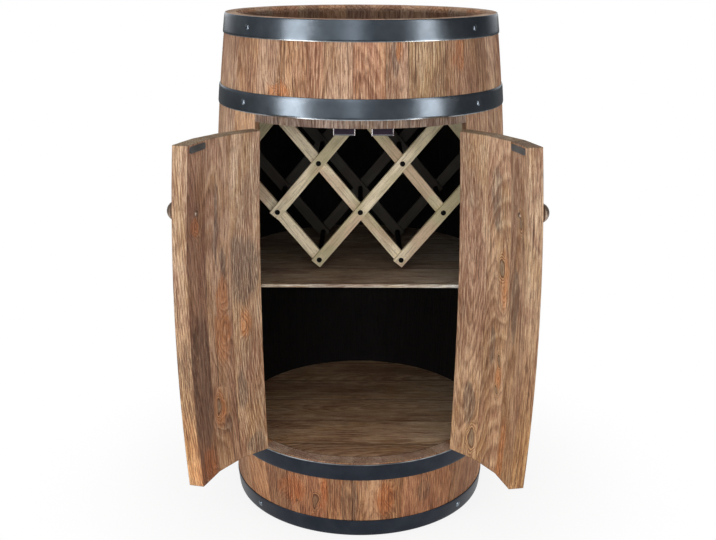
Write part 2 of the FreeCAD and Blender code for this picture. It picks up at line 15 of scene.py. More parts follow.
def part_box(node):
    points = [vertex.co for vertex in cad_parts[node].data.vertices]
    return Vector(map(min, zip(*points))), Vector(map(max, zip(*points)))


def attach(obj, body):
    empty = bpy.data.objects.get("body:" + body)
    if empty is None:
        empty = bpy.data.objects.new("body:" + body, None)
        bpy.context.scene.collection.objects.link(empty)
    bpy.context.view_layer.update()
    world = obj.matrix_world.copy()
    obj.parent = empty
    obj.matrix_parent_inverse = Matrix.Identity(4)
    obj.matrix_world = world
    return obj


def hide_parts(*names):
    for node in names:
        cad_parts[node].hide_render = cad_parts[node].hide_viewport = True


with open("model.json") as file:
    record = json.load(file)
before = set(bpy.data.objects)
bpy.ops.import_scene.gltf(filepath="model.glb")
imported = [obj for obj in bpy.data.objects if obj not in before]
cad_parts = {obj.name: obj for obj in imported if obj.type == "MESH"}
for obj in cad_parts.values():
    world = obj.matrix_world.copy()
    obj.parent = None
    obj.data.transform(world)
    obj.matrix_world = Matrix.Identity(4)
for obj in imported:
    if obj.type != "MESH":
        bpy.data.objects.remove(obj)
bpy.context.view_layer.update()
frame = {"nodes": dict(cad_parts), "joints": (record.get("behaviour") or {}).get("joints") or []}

# ---- the barrel, as the CAD has it ----
BULGE_RADIUS = 0.235
BULGE_ARC = 3.2125
MIDDLE = 0.4
STAVE_THICKNESS = 0.022
STAVE_PATTERN = [1.0, 0.82, 1.18, 0.92, 1.1]
FULL_STAVES = 19
OPENING_HALF_ANGLE = 43.0
LINTEL_Z = 0.665
FRONT_JOINTS = [-43.0, -31.4, -13.5, -2.9, 9.2, 17.8, 33.5, 43.0]
FLOOR_TOP = 0.130
CEILING_BOTTOM = 0.690
DOOR_BOTTOM = 0.148
DOOR_TOP = 0.646
SHELF_FRONT_Y = -0.149
BOARDS_PER_DOOR = 3
DOOR_FREE_ANGLE = 0.25
DOOR_HINGE_ANGLE = 42.6
BOARD_ANGLE = (DOOR_HINGE_ANGLE - DOOR_FREE_ANGLE) / BOARDS_PER_DOOR
# A flat board whose long edges lie on the bulge is this much inside it along its middle.
BOARD_SET_IN = BULGE_RADIUS * (1 - math.cos(math.radians(BOARD_ANGLE / 2)))
RACK_NODE = Vector((0.0655, 0, 0.0782))

# ---- the camera ----
CAMERA_DISTANCE = 1.6407
CAMERA_HEIGHT = 0.8884
CAMERA_PITCH = 0.302
CAMERA_YAW = 0.00312
CAMERA_ROLL = -0.003
FOCAL_PIXELS = 1021.6
PICTURE_WIDTH = 716
SENSOR_WIDTH = 36.0


def srgb(red, green, blue):
    """A screen colour, 0 to 255 a channel, as a linear colour."""
    parts = [v / 255 for v in (red, green, blue)]
    linear = [v / 12.92 if v <= 0.04045 else ((v + 0.055) / 1.055) ** 2.4 for v in parts]
    return (*linear, 1.0)


# ---- node trees ----
class Nodes:
    """Adds nodes to one tree; every call returns the output that is wanted."""

    def __init__(self, tree):
        self.tree = tree

    def add(self, kind, **settings):
        node = self.tree.nodes.new(kind)
        for name, value in settings.items():
            setattr(node, name, value)
        return node

    def feed(self, socket, value):
        """Links an output to a socket, or sets the socket to a number, vector or colour."""
        if isinstance(value, bpy.types.NodeSocket):
            self.tree.links.new(value, socket)
        else:
            socket.default_value = value

    def math(self, operation, *values, clamp=False):
        node = self.add("ShaderNodeMath", operation=operation, use_clamp=clamp)
        for socket, value in zip(node.inputs, values):
            self.feed(socket, value)
        return node.outputs[0]

    def vector(self, operation, *values):
        node = self.add("ShaderNodeVectorMath", operation=operation)
        for socket, value in zip(node.inputs, values):
            self.feed(socket, value)
        return node.outputs[0]

    def combine(self, x, y, z):
        node = self.add("ShaderNodeCombineXYZ")
        for socket, value in zip(node.inputs, (x, y, z)):
            self.feed(socket, value)
        return node.outputs[0]

    def separate(self, vector):
        node = self.add("ShaderNodeSeparateXYZ")
        self.feed(node.inputs[0], vector)
        return node.outputs

    def step(self, value, low, high, to_low=0.0, to_high=1.0):
        """Goes smoothly from to_low to to_high as the value goes from low to high."""
        node = self.add("ShaderNodeMapRange", interpolation_type="SMOOTHSTEP")
        for socket, number in zip(node.inputs, (value, low, high, to_low, to_high)):
            self.feed(socket, number)
        return node.outputs[0]

    def ramp(self, value, stops):
        """A colour that follows a list of (value, colour) stops, from 0 to 1."""
        node = self.add("ShaderNodeValToRGB")
        self.feed(node.inputs[0], value)
        elements = node.color_ramp.elements
        while len(elements) < len(stops):
            elements.new(0.5)
        for element, (place, colour) in zip(elements, stops):
            element.position = place
            element.color = colour
        return node.outputs[0]

    def scaled(self, vector, across, deep, along):
        return self.vector("MULTIPLY", vector, (across, deep, along))

    def noise(self, vector, detail=2.0, roughness=0.5, distortion=0.0):
        node = self.add("ShaderNodeTexNoise", noise_dimensions="3D")
        self.feed(node.inputs["Vector"], vector)
        node.inputs["Scale"].default_value = 1.0
        node.inputs["Detail"].default_value = detail
        node.inputs["Roughness"].default_value = roughness
        node.inputs["Distortion"].default_value = distortion
        return node.outputs["Fac"]

    def mix(self, factor, first, second, blend="MIX"):
        node = self.add("ShaderNodeMix", data_type="RGBA", blend_type=blend)
        self.feed(node.inputs[0], factor)
        self.feed(node.inputs[6], first)
        self.feed(node.inputs[7], second)
        return node.outputs[2]

    def use(self, group, **values):
        """Places a node group; underscores in a name stand for spaces."""
        node = self.add("ShaderNodeGroup", node_tree=group)
        for name, value in values.items():
            self.feed(node.inputs[name.replace("_", " ")], value)
        return node.outputs

    def bump(self, height, distance, normal=None):
        node = self.add("ShaderNodeBump")
        node.inputs["Strength"].default_value = 1.0
        node.inputs["Distance"].default_value = distance
        self.feed(node.inputs["Height"], height)
        if normal is not None:
            self.feed(node.inputs["Normal"], normal)
        return node.outputs[0]


SOCKETS = {"vector": "NodeSocketVector", "number": "NodeSocketFloat", "colour": "NodeSocketColor"}


def new_group(name, inputs, outputs):
    """An empty node group with named sockets, and its Nodes, input outputs and output inputs."""
    tree = bpy.data.node_groups.new(name, "ShaderNodeTree")
    for label, kind in inputs.items():
        tree.interface.new_socket(label, in_out="INPUT", socket_type=SOCKETS[kind])
    for label, kind in outputs.items():
        tree.interface.new_socket(label, in_out="OUTPUT", socket_type=SOCKETS[kind])
    nodes = Nodes(tree)
    return nodes, nodes.add("NodeGroupInput").outputs, nodes.add("NodeGroupOutput").inputs


def new_material(name):
    """A material with a Principled BSDF, its Nodes, the shader and the object coordinates."""
    material = bpy.data.materials.new(name)
    material.use_nodes = True
    nodes = Nodes(material.node_tree)
    shader = material.node_tree.nodes["Principled BSDF"]
    position = nodes.add("ShaderNodeTexCoord").outputs["Object"]
    return material, nodes, shader, position


# ---- shared effects ----
def board_space_group():
    """Place in a board: across from its middle line, deep from the bulged surface, along its height.

    The vector is already turned so that the board faces -Y. Edge goes from 0 to 1 at the long edges.
    Depth is the depth below the round surface of a stave, where the vector's own is below a flat one.
    """
    outputs = {"Position": "vector", "Edge": "number", "Depth": "number"}
    t, given, result = new_group("board_space", {"Vector": "vector", "Half Angle": "number"}, outputs)
    x, y, z = t.separate(given["Vector"])
    off_middle = t.math("SUBTRACT", z, MIDDLE)
    bulge = t.math("DIVIDE", t.math("MULTIPLY", off_middle, off_middle), 2 * BULGE_ARC)
    depth = t.math("SUBTRACT", t.math("ADD", y, BULGE_RADIUS), bulge)
    t.feed(result["Position"], t.combine(x, depth, z))
    squares = t.math("ADD", t.math("MULTIPLY", x, x), t.math("MULTIPLY", y, y))
    surface = t.math("SUBTRACT", BULGE_RADIUS, bulge)
    t.feed(result["Depth"], t.math("SUBTRACT", surface, t.math("SQRT", squares)))
    angle = t.math("ABSOLUTE", t.math("ARCTAN2", x, t.math("MULTIPLY", y, -1.0)))
    t.feed(result["Edge"], t.math("DIVIDE", angle, given["Half Angle"]))
    return t.tree


# A knot's field is exp(-KNOT_FALL q), where q is the squared distance in its half sizes.
KNOT_FALL = 0.7


def knot_group():
    """One knot: a field that is 1 at its middle and fades away from it.

    The result is the larger of this field and the one that the group is given.
    """
    inputs = {"Position": "vector", "Centre": "vector", "Sharpness": "vector", "Field": "number"}
    t, given, result = new_group("knot", inputs, {"Field": "number"})
    off = t.vector("MULTIPLY", t.vector("SUBTRACT", given["Position"], given["Centre"]), given["Sharpness"])
    dot = t.add("ShaderNodeVectorMath", operation="DOT_PRODUCT")
    t.feed(dot.inputs[0], off)
    t.feed(dot.inputs[1], off)
    swell = t.math("EXPONENT", t.math("MULTIPLY", dot.outputs["Value"], -KNOT_FALL))
    t.feed(result["Field"], t.math("MAXIMUM", swell, given["Field"]))
    return t.tree


# Scattered knots: cells per metre across and along a board, the share of the cells that is left empty,
# and a knot's half size as a share of its cell.
CELLS_ACROSS = 11.0
CELLS_ALONG = 3.3
EMPTY_CELLS = 0.70
SCATTERED_SIZE = 0.058


def scattered_knots_group():
    """Knots strewn over a board: cells 9 cm across and 30 cm along, a few of them with a knot."""
    inputs = {"Position": "vector", "Seed": "number"}
    t, given, result = new_group("scattered_knots", inputs, {"Field": "number"})
    x, _, z = t.separate(given["Position"])
    u = t.math("ADD", t.math("MULTIPLY", x, CELLS_ACROSS), t.math("MULTIPLY", given["Seed"], 7.31))
    v = t.math("ADD", t.math("MULTIPLY", z, CELLS_ALONG), t.math("MULTIPLY", given["Seed"], 3.77))
    cells = t.add("ShaderNodeTexVoronoi", voronoi_dimensions="2D")
    t.feed(cells.inputs["Vector"], t.combine(u, v, 0.0))
    cells.inputs["Scale"].default_value = 1.0
    reach = t.math("DIVIDE", cells.outputs["Distance"], SCATTERED_SIZE)
    swell = t.math("EXPONENT", t.math("MULTIPLY", t.math("MULTIPLY", reach, reach), -KNOT_FALL))
    chosen = t.math("GREATER_THAN", t.separate(cells.outputs["Color"])[0], EMPTY_CELLS)
    t.feed(result["Field"], t.math("MULTIPLY", swell, chosen))
    return t.tree


LIGHT_TAN = srgb(206, 170, 140)
MID_TAN = srgb(162, 123, 95)
BROWN = srgb(118, 78, 56)
DARK_LINE = srgb(74, 50, 40)
GREY_BROWN = srgb(122, 102, 88)
OCHRE = srgb(182, 142, 96)
ROSE = srgb(156, 110, 90)
ORANGE = srgb(202, 132, 78)
GOLD = srgb(216, 178, 132)
KNOT_DARK = srgb(84, 58, 46)
KNOT_HEART = srgb(148, 130, 110)
KNOT_RING = srgb(112, 68, 50)
PALE_STREAK = srgb(230, 204, 174)

RINGS_PER_METRE = 250.0
# Rings round a knot: how many to its half size, and where they have faded, in half sizes.
KNOT_TURNS = 2.4
KNOT_REACH = 2.8


def brushed_wood_group():
    """Weathered, wire-brushed board.

    Year rings are circles about a pith that runs aslant behind the board, bent by slow noise and by the
    knots: a face shows stripes where the pith is far aside and nested arches where it is straight behind.
    Over them lie blotches, short dashes of open grain and a few long cracks.
    Weathered, 0 to 1, turns a place grey and dark, and Flame turns it orange. Tint multiplies the colour.
    """
    fields = ("Seed", "Knots", "Weathered", "Flame")
    inputs = {"Position": "vector", **{name: "number" for name in fields}, "Tint": "colour"}
    outputs = {"Color": "colour", "Height": "number", "Roughness": "number"}
    t, given, result = new_group("brushed_wood", inputs, outputs)
    seed = given["Seed"]
    chance = t.add("ShaderNodeTexWhiteNoise", noise_dimensions="1D")
    t.feed(chance.inputs["W"], seed)
    luck_a, luck_b, luck_c = t.separate(chance.outputs["Color"])
    shift = t.combine(
        t.math("MULTIPLY", seed, 3.17), t.math("MULTIPLY", seed, 1.31), t.math("MULTIPLY", seed, 7.9)
    )
    place = t.vector("ADD", given["Position"], shift)
    x, depth, z = t.separate(given["Position"])

    # year rings
    sway = t.math("SUBTRACT", t.noise(t.scaled(place, 6.0, 6.0, 3.0), 2.0), 0.5)
    ripple = t.math("SUBTRACT", t.noise(t.scaled(place, 42.0, 42.0, 16.0), 3.0), 0.5)
    bent = t.math("ADD", t.math("MULTIPLY", sway, 0.08), t.math("MULTIPLY", ripple, 0.012))
    aside = t.math("ADD", t.math("ADD", x, bent), t.step(luck_a, 0.0, 1.0, -0.045, 0.045))
    aslant = t.math("MULTIPLY", z, t.step(luck_c, 0.0, 1.0, -0.12, 0.12))
    behind = t.math("ADD", t.math("ADD", depth, aslant), t.step(luck_b, 0.0, 1.0, 0.012, 0.05))
    squares = t.math("ADD", t.math("MULTIPLY", aside, aside), t.math("MULTIPLY", behind, behind))
    rings = t.math("MULTIPLY", t.math("SQRT", squares), RINGS_PER_METRE)
    swirl = t.math("ADD", t.math("MULTIPLY", given["Knots"], 6.0), t.math("MULTIPLY", given["Flame"], 4.0))
    phase = t.math("FRACT", t.math("ADD", rings, swirl))
    late = t.math("MULTIPLY", t.step(phase, 0.45, 0.85), t.step(phase, 0.88, 1.0, 1.0, 0.0))
    early = t.math("MULTIPLY", t.step(phase, 0.0, 0.12), t.step(phase, 0.16, 0.34, 1.0, 0.0))

    # blotches, dashes, cracks and fibres, as noise features per metre across, deep and along
    broad = t.noise(t.scaled(place, 13.0, 13.0, 5.0), 3.0, 0.55)
    hue = t.noise(t.scaled(place, 24.0, 24.0, 7.0), 3.0, 0.6, 0.8)
    mottle = t.noise(t.scaled(place, 70.0, 70.0, 16.0), 5.0, 0.64, 0.7)
    grain = t.noise(t.scaled(place, 620.0, 620.0, 14.0), 4.0, 0.66)
    dash = t.noise(t.scaled(place, 800.0, 800.0, 60.0), 3.0, 0.6)
    grit = t.noise(t.scaled(place, 620.0, 620.0, 360.0), 3.0, 0.6)
    crack = t.noise(t.scaled(place, 230.0, 230.0, 7.0), 2.0, 0.5)

    colour = t.mix(t.step(broad, 0.42, 0.58), LIGHT_TAN, MID_TAN)
    colour = t.mix(t.step(hue, 0.50, 0.60, 0.0, 0.45), colour, OCHRE)
    colour = t.mix(t.step(hue, 0.48, 0.38, 0.0, 0.55), colour, ROSE)
    grey = t.math("MULTIPLY", t.step(broad, 0.57, 0.63), 0.32)
    in_patch = t.step(given["Weathered"], 0.30, 0.52)
    weathered = t.math("MULTIPLY", in_patch, t.step(mottle, 0.32, 0.55, 0.6, 0.95))
    colour = t.mix(t.math("MAXIMUM", grey, weathered, clamp=True), colour, GREY_BROWN)
    colour = t.mix(t.step(mottle, 0.50, 0.68, 0.0, 0.46), colour, BROWN)
    colour = t.mix(t.step(mottle, 0.46, 0.32, 0.0, 0.36), colour, PALE_STREAK)
    glow = t.math("MULTIPLY", t.step(given["Flame"], 0.18, 0.60), t.step(mottle, 0.35, 0.65, 0.98, 0.60))
    colour = t.mix(glow, colour, ORANGE)
    colour = t.mix(t.math("MULTIPLY", late, t.step(broad, 0.3, 0.7, 0.32, 0.62)), colour, BROWN)
    colour = t.mix(t.math("MULTIPLY", early, 0.22), colour, PALE_STREAK)
    colour = t.mix(t.step(grain, 0.50, 0.64, 0.0, 0.66), colour, BROWN)
    colour = t.mix(t.step(grain, 0.47, 0.33, 0.0, 0.50), colour, PALE_STREAK)
    open_grain = t.step(dash, 0.53, 0.66)
    colour = t.mix(t.math("MULTIPLY", open_grain, 0.45), colour, DARK_LINE)
    colour = t.mix(t.step(dash, 0.46, 0.34, 0.0, 0.35), colour, PALE_STREAK)
    colour = t.mix(t.step(grit, 0.52, 0.72, 0.0, 0.45), colour, BROWN)
    split = t.step(crack, 0.665, 0.70)
    colour = t.mix(t.math("MULTIPLY", split, 0.60), colour, DARK_LINE)

    # knots: a grey heart in a thin dark rim, with rings round it that fade away
    field = t.math("MAXIMUM", given["Knots"], 0.001)
    away = t.math("SQRT", t.math("MULTIPLY", t.math("LOGARITHM", field, math.e), -1 / KNOT_FALL))
    turns = t.math("FRACT", t.math("MULTIPLY", away, KNOT_TURNS))
    fade = t.step(away, 1.2, KNOT_REACH, 1.0, 0.0)
    dark_ring = t.math("MULTIPLY", t.step(turns, 0.45, 0.75), t.step(turns, 0.85, 1.0, 1.0, 0.0))
    pale_ring = t.math("MULTIPLY", t.step(turns, 0.0, 0.12), t.step(turns, 0.22, 0.45, 1.0, 0.0))
    colour = t.mix(t.math("MULTIPLY", t.math("MULTIPLY", dark_ring, fade), 0.85), colour, KNOT_RING)
    colour = t.mix(t.math("MULTIPLY", t.math("MULTIPLY", pale_ring, fade), 0.75), colour, GOLD)
    colour = t.mix(t.step(away, 0.75, 0.95, 0.78, 0.0), colour, KNOT_HEART)
    rim = t.math("MULTIPLY", t.step(away, 0.80, 0.95), t.step(away, 1.0, 1.15, 1.0, 0.0))
    colour = t.mix(t.math("MULTIPLY", rim, 0.85), colour, KNOT_DARK)
    colour = t.mix(t.step(away, 0.10, 0.32, 0.45, 0.0), colour, KNOT_DARK)

    t.feed(result["Color"], t.mix(1.0, colour, given["Tint"], "MULTIPLY"))
    relief = t.math("ADD", t.math("MULTIPLY", open_grain, -0.6), t.math("MULTIPLY", grit, -0.5))
    relief = t.math("ADD", relief, t.math("MULTIPLY", split, -0.6))
    relief = t.math("ADD", relief, t.math("MULTIPLY", late, 0.35))
    t.feed(result["Height"], relief)
    t.feed(result["Roughness"], t.step(grain, 0.3, 0.7, 0.60, 0.80))
    return t.tree


BOARD_SPACE = board_space_group()
KNOT = knot_group()
SCATTERED_KNOTS = scattered_knots_group()
BRUSHED_WOOD = brushed_wood_group()

SEAM_BROWN = srgb(48, 33, 26)
# Near black: the dark stain of the wood, and painted shade on the rear slats.
BLACK_STAIN_AND_SHADE = srgb(20, 18, 18)
SEAM_STRENGTH = 0.12
WOOD_RELIEF = 0.0008
RIM_STAIN = 0.66
# Depths below the outer face between which the stain inside the rim sets in.
RIM_STAIN_DEPTHS = (0.017, 0.0215)
# From this depth on, a stave's face is its inner one.
INNER_FACE = STAVE_THICKNESS - 0.0006


def turned(t, vector, facing, location=(0.0, 0.0, 0.0)):
    """Turns the coordinates so that a board which faces an azimuth faces -Y."""
    node = t.add("ShaderNodeMapping", vector_type="POINT")
    t.feed(node.inputs["Vector"], vector)
    node.inputs["Rotation"].default_value = (0.0, 0.0, -math.radians(facing))
    node.inputs["Location"].default_value = location
    return node.outputs[0]


# How far noise bends a knot across and along its board, and the noise's features per metre.
KNOT_BEND = (0.016, 0.0, 0.034)
KNOT_BEND_SCALE = (55.0, 55.0, 22.0)


def knot_field(t, position, knots):
    """The joint field of a list of knots, each (across, height, half width, half length), bent by noise."""
    field = 0.0
    bend = t.add("ShaderNodeTexNoise")
    t.feed(bend.inputs["Vector"], t.scaled(position, *KNOT_BEND_SCALE))
    bend.inputs["Scale"].default_value = 1.0
    off = t.vector("SUBTRACT", bend.outputs["Color"], (0.5, 0.5, 0.5))
    position = t.vector("ADD", position, t.scaled(off, *KNOT_BEND))
    for across, height, half_width, half_length in knots:
        sharpness = (1 / half_width, 0.0, 1 / half_length)
        centre = (across, 0.0, height)
        field = t.use(KNOT, Position=position, Centre=centre, Sharpness=sharpness, Field=field)["Field"]
    return field


# A seam starts this far from a board's middle line, where 1 is its edge, and shows within this depth
# of a face: fully up to the first number of metres and not at all beyond the second.
SEAM_START = 0.955
SEAM_DEPTHS = (0.0008, 0.0024)


def board_edges(t, edge, depth, faces):
    """1 in the seams between boards, on the faces at the given depths only."""
    off = 1.0
    for face in faces:
        off = t.math("MINIMUM", off, t.math("ABSOLUTE", t.math("SUBTRACT", depth, face)))
    return t.math("MULTIPLY", t.step(edge, SEAM_START, 1.0), t.step(off, *SEAM_DEPTHS, 1.0, 0.0))


# Height in metres, and the tint of the wood there.
HEIGHT_TINTS = [
    (0.06, (0.84, 0.66, 0.50, 1.0)),
    (0.17, (1.00, 0.89, 0.76, 1.0)),
    (0.38, (0.92, 0.85, 0.78, 1.0)),
    (0.58, (1.13, 1.13, 1.13, 1.0)),
    (0.66, (1.10, 1.08, 1.06, 1.0)),
    (0.74, (0.99, 0.93, 0.90, 1.0)),
]


def tint_by_height(t, position, tint):
    """The wood is redder towards the foot and paler at the height of the rack."""
    return t.mix(1.0, t.ramp(t.separate(position)[2], HEIGHT_TINTS), tint, "MULTIPLY")


def dress_wood(t, shader, position, seed, tint, seam=0.0, blackening=0.0, knots=0.0, weathered=0.0, flame=0.0):
    """Feeds brushed wood to a shader, dark in the seams between boards and black where it is stained."""
    values = {"Seed": seed, "Knots": knots, "Weathered": weathered, "Flame": flame}
    wood = t.use(BRUSHED_WOOD, Position=position, Tint=tint_by_height(t, position, tint), **values)
    colour = t.mix(t.math("MULTIPLY", seam, SEAM_STRENGTH), wood["Color"], SEAM_BROWN)
    colour = t.mix(blackening, colour, BLACK_STAIN_AND_SHADE)
    t.feed(shader.inputs["Base Color"], colour)
    t.feed(shader.inputs["Roughness"], wood["Roughness"])
    t.feed(shader.inputs["Normal"], t.bump(wood["Height"], WOOD_RELIEF))
    shader.inputs["Specular IOR Level"].default_value = 0.3


def inside_stain(t, position, depth):
    """Black inside the staves between the floor and the ceiling, and two thirds dark inside the rim."""
    z = t.separate(position)[2]
    inside = t.math("GREATER_THAN", depth, INNER_FACE)
    above = t.math("GREATER_THAN", z, FLOOR_TOP)
    below = t.math("LESS_THAN", z, CEILING_BOTTOM)
    cupboard = t.math("MULTIPLY", inside, t.math("MULTIPLY", above, below))
    rim = t.math("MULTIPLY", t.step(depth, *RIM_STAIN_DEPTHS), t.math("GREATER_THAN", z, CEILING_BOTTOM))
    return t.math("MAXIMUM", cupboard, t.math("MULTIPLY", rim, RIM_STAIN))


def put(material, *names):
    """Gives the CAD nodes of these names one material."""
    for name in names:
        slots = frame["nodes"][name].data.materials
        slots.clear()
        slots.append(material)


# ---- the staves ----
def full_stave_joints():
    """Azimuths of the joints between full-height staves, from the right of the opening to its left."""
    weights = [STAVE_PATTERN[i % len(STAVE_PATTERN)] for i in range(FULL_STAVES)]
    span = 360.0 - 2 * OPENING_HALF_ANGLE
    joints = [OPENING_HALF_ANGLE]
    for weight in weights:
        joints.append(joints[-1] + span * weight / sum(weights))
    return joints


# Tints of the boards, as red, green, blue multipliers.
GREYISH = (0.86, 0.92, 0.97, 1.0)
TAWNY = (1.04, 0.97, 0.90, 1.0)
OLIVE = (0.92, 0.97, 0.90, 1.0)
RUSSET = (0.98, 0.86, 0.80, 1.0)
DUSKY = (0.74, 0.68, 0.64, 1.0)
PLAIN = (0.96, 0.96, 0.97, 1.0)
RIM_TINT = (0.92, 1.02, 1.10, 1.0)
SILL_TINT = (0.86, 1.06, 1.40, 1.0)
# A painted shadow: the lintel under the upper hoop is darker and bluer.
LINTEL_PAINTED_SHADE = (0.53, 0.60, 0.73, 1.0)
RIM_TOP = 0.8
# A face with a tint of its own: how far from it the tint starts, and how far from it the tint is full.
RIM_BAND = (0.0012, 0.0004)
SILL_BAND = (0.0008, 0.0003)
SHELF_BAND = (0.0006, 0.0002)
# The painted shadow on the lintel under the upper hoop fades in and out over this much on each side of
# LINTEL_Z.
LINTEL_BAND = 0.003
STAVE_TINTS = [PLAIN, DUSKY, PLAIN, TAWNY, OLIVE, RUSSET, GREYISH, TAWNY]


def dress_full_staves():
    """The full-height staves: a material each, with its grain about the stave's own middle line."""
    joints = full_stave_joints()
    for number, (first, last) in enumerate(zip(joints, joints[1:]), start=1):
        name = "stave_%02d" % number
        material, t, shader, coordinates = new_material(name + "_wood")
        local = turned(t, coordinates, (first + last) / 2)
        space = t.use(BOARD_SPACE, Vector=local, Half_Angle=math.radians((last - first) / 2))
        position = space["Position"]
        knots = t.use(SCATTERED_KNOTS, Position=position, Seed=float(number))["Field"]
        rim = t.step(t.separate(position)[2], RIM_TOP - RIM_BAND[0], RIM_TOP - RIM_BAND[1])
        tint = t.mix(rim, STAVE_TINTS[number % len(STAVE_TINTS)], RIM_TINT)
        seam = board_edges(t, space["Edge"], space["Depth"], (0.0,))
        stain = inside_stain(t, position, space["Depth"])
        dress_wood(t, shader, position, float(number), tint, seam, stain, knots)
        put(material, name)


# A front board's edge fades over this many radians from its joint.
FRONT_EDGE_REACH = 0.06


def front_board_group():
    """Splits the front by its joints: a seed for each board, and 0 to 1 from its middle to its edges."""
    t, given, result = new_group("front_board", {"Vector": "vector"}, {"Seed": "number", "Edge": "number"})
    x, y, _ = t.separate(given["Vector"])
    azimuth = t.math("ARCTAN2", x, t.math("MULTIPLY", y, -1.0))
    seed = 0.0
    nearest = 1.0
    for joint in FRONT_JOINTS:
        off = t.math("SUBTRACT", azimuth, math.radians(joint))
        seed = t.math("ADD", seed, t.math("GREATER_THAN", off, 0.0))
        nearest = t.math("MINIMUM", nearest, t.math("ABSOLUTE", off))
    t.feed(result["Seed"], seed)
    t.feed(result["Edge"], t.step(nearest, 0.0, FRONT_EDGE_REACH, 1.0, 0.0))
    return t.tree


def tint_of_board(t, board, tints):
    """The tint of each board across the front, counted from the joint on the left."""
    tint = (1.0, 1.0, 1.0, 1.0)
    for number, colour in enumerate(tints, start=1):
        here = t.math("COMPARE", board, float(number), 0.5)
        tint = t.mix(here, tint, colour)
    return tint


# Marks of the short staves: azimuth, height, half width, half length.
FOOT_MARKS = {
    "knots": [(-17.2, 0.056, 0.0045, 0.010), (-25.3, 0.055, 0.0014, 0.002)],
    "weathered": [(-17.2, 0.056, 0.006, 0.012), (-4.0, 0.06, 0.012, 0.05), (26.0, 0.07, 0.008, 0.02)],
    "flame": [(-14.0, 0.066, 0.005, 0.03), (-27.0, 0.073, 0.018, 0.02), (9.5, 0.068, 0.013, 0.024)],
}
CROWN_MARKS = {
    "knots": [(40.0, 0.748, 0.0025, 0.006)],
    "weathered": [(11.5, 0.755, 0.005, 0.03)],
    "flame": [(13.0, 0.765, 0.005, 0.016), (-30.0, 0.70, 0.014, 0.010), (37.0, 0.75, 0.010, 0.02)],
}
FOOT_TINTS = [DUSKY, RUSSET, TAWNY, PLAIN, TAWNY, RUSSET, RUSSET]
CROWN_TINTS = [PLAIN, TAWNY, PLAIN, RUSSET, PLAIN, OLIVE, DUSKY]


def dress_front_staves():
    """The short staves over and under the opening: a material each, split into boards by azimuth."""
    front_board = front_board_group()
    for name, marks, tints, first_seed in (
        ("upper_front_staves", CROWN_MARKS, CROWN_TINTS, 31.0),
        ("lower_front_staves", FOOT_MARKS, FOOT_TINTS, 52.0),
    ):
        material, t, shader, coordinates = new_material(name + "_wood")
        space = t.use(BOARD_SPACE, Vector=coordinates, Half_Angle=1.0)
        position = space["Position"]
        board = t.use(front_board, Vector=coordinates)
        seed = t.math("ADD", board["Seed"], first_seed)
        fields = {}
        for kind, places in marks.items():
            placed = [(math.sin(math.radians(a)) * BULGE_RADIUS, z, w, h) for a, z, w, h in places]
            fields[kind] = knot_field(t, position, placed)
        tint = tint_of_board(t, board["Seed"], tints)
        z = t.separate(position)[2]
        if name == "upper_front_staves":
            # painted shadow on the lintel under the upper hoop
            under_hoop = t.step(z, LINTEL_Z + LINTEL_BAND, LINTEL_Z - LINTEL_BAND)
            tint = t.mix(under_hoop, tint, LINTEL_PAINTED_SHADE)
        else:
            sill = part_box(name)[1].z
            on_top = t.step(z, sill - SILL_BAND[0], sill - SILL_BAND[1])
            tint = t.mix(on_top, tint, SILL_TINT)
        seam = board_edges(t, board["Edge"], space["Depth"], (0.0,))
        stain = inside_stain(t, position, space["Depth"])
        dress_wood(t, shader, position, seed, tint, seam, stain, **fields)
        put(material, name)


# ---- the doors ----
# Marks of each board, counted from the free edge: across, height, half width, half length.
DOOR_MARKS = {
    ("left", 1): {
        "knots": [(0.010, 0.365, 0.002, 0.020)],
        "weathered": [(0.0, 0.30, 0.03, 0.09)],
        "flame": [(0.006, 0.532, 0.010, 0.010), (0.0, 0.170, 0.02, 0.02)],
    },
    ("left", 2): {
        "knots": [(0.014, 0.249, 0.0034, 0.011)],
        "weathered": [(0.006, 0.52, 0.004, 0.05), (-0.008, 0.455, 0.005, 0.03), (0.0, 0.215, 0.010, 0.012)],
        "flame": [(-0.004, 0.412, 0.010, 0.026), (-0.003, 0.352, 0.015, 0.036), (0.012, 0.245, 0.009, 0.028)],
    },
    ("left", 3): {
        "weathered": [
            (0.006, 0.445, 0.026, 0.046),
            (0.014, 0.26, 0.008, 0.03),
            (-0.004, 0.165, 0.016, 0.014),
        ],
        "flame": [(0.004, 0.36, 0.010, 0.020)],
    },
    ("right", 1): {
        "knots": [(-0.006, 0.541, 0.004, 0.008)],
        "weathered": [(0.006, 0.42, 0.010, 0.05)],
        "flame": [(0.014, 0.18, 0.008, 0.05)],
    },
    ("right", 2): {
        "knots": [
            (-0.008, 0.459, 0.0050, 0.012),
            (-0.012, 0.320, 0.0030, 0.007),
            (-0.011, 0.276, 0.003, 0.006),
        ],
        "weathered": [(0.006, 0.56, 0.010, 0.04), (0.006, 0.34, 0.005, 0.03)],
        "flame": [(-0.013, 0.445, 0.008, 0.035), (-0.013, 0.30, 0.006, 0.02)],
    },
    ("right", 3): {
        "knots": [(-0.014, 0.1795, 0.0058, 0.0125)],
        "weathered": [(-0.004, 0.235, 0.010, 0.03)],
    },
}
DOOR_TINTS = {
    "left": ((0.70, 0.62, 0.62, 1.0), (0.93, 0.92, 0.95, 1.0), (1.08, 1.14, 1.18, 1.0)),
    "right": ((1.00, 0.99, 0.97, 1.0), (1.10, 1.12, 1.10, 1.0), (1.02, 1.05, 1.06, 1.0)),
}
DOOR_SEEDS = {"left": 60.0, "right": 80.0}
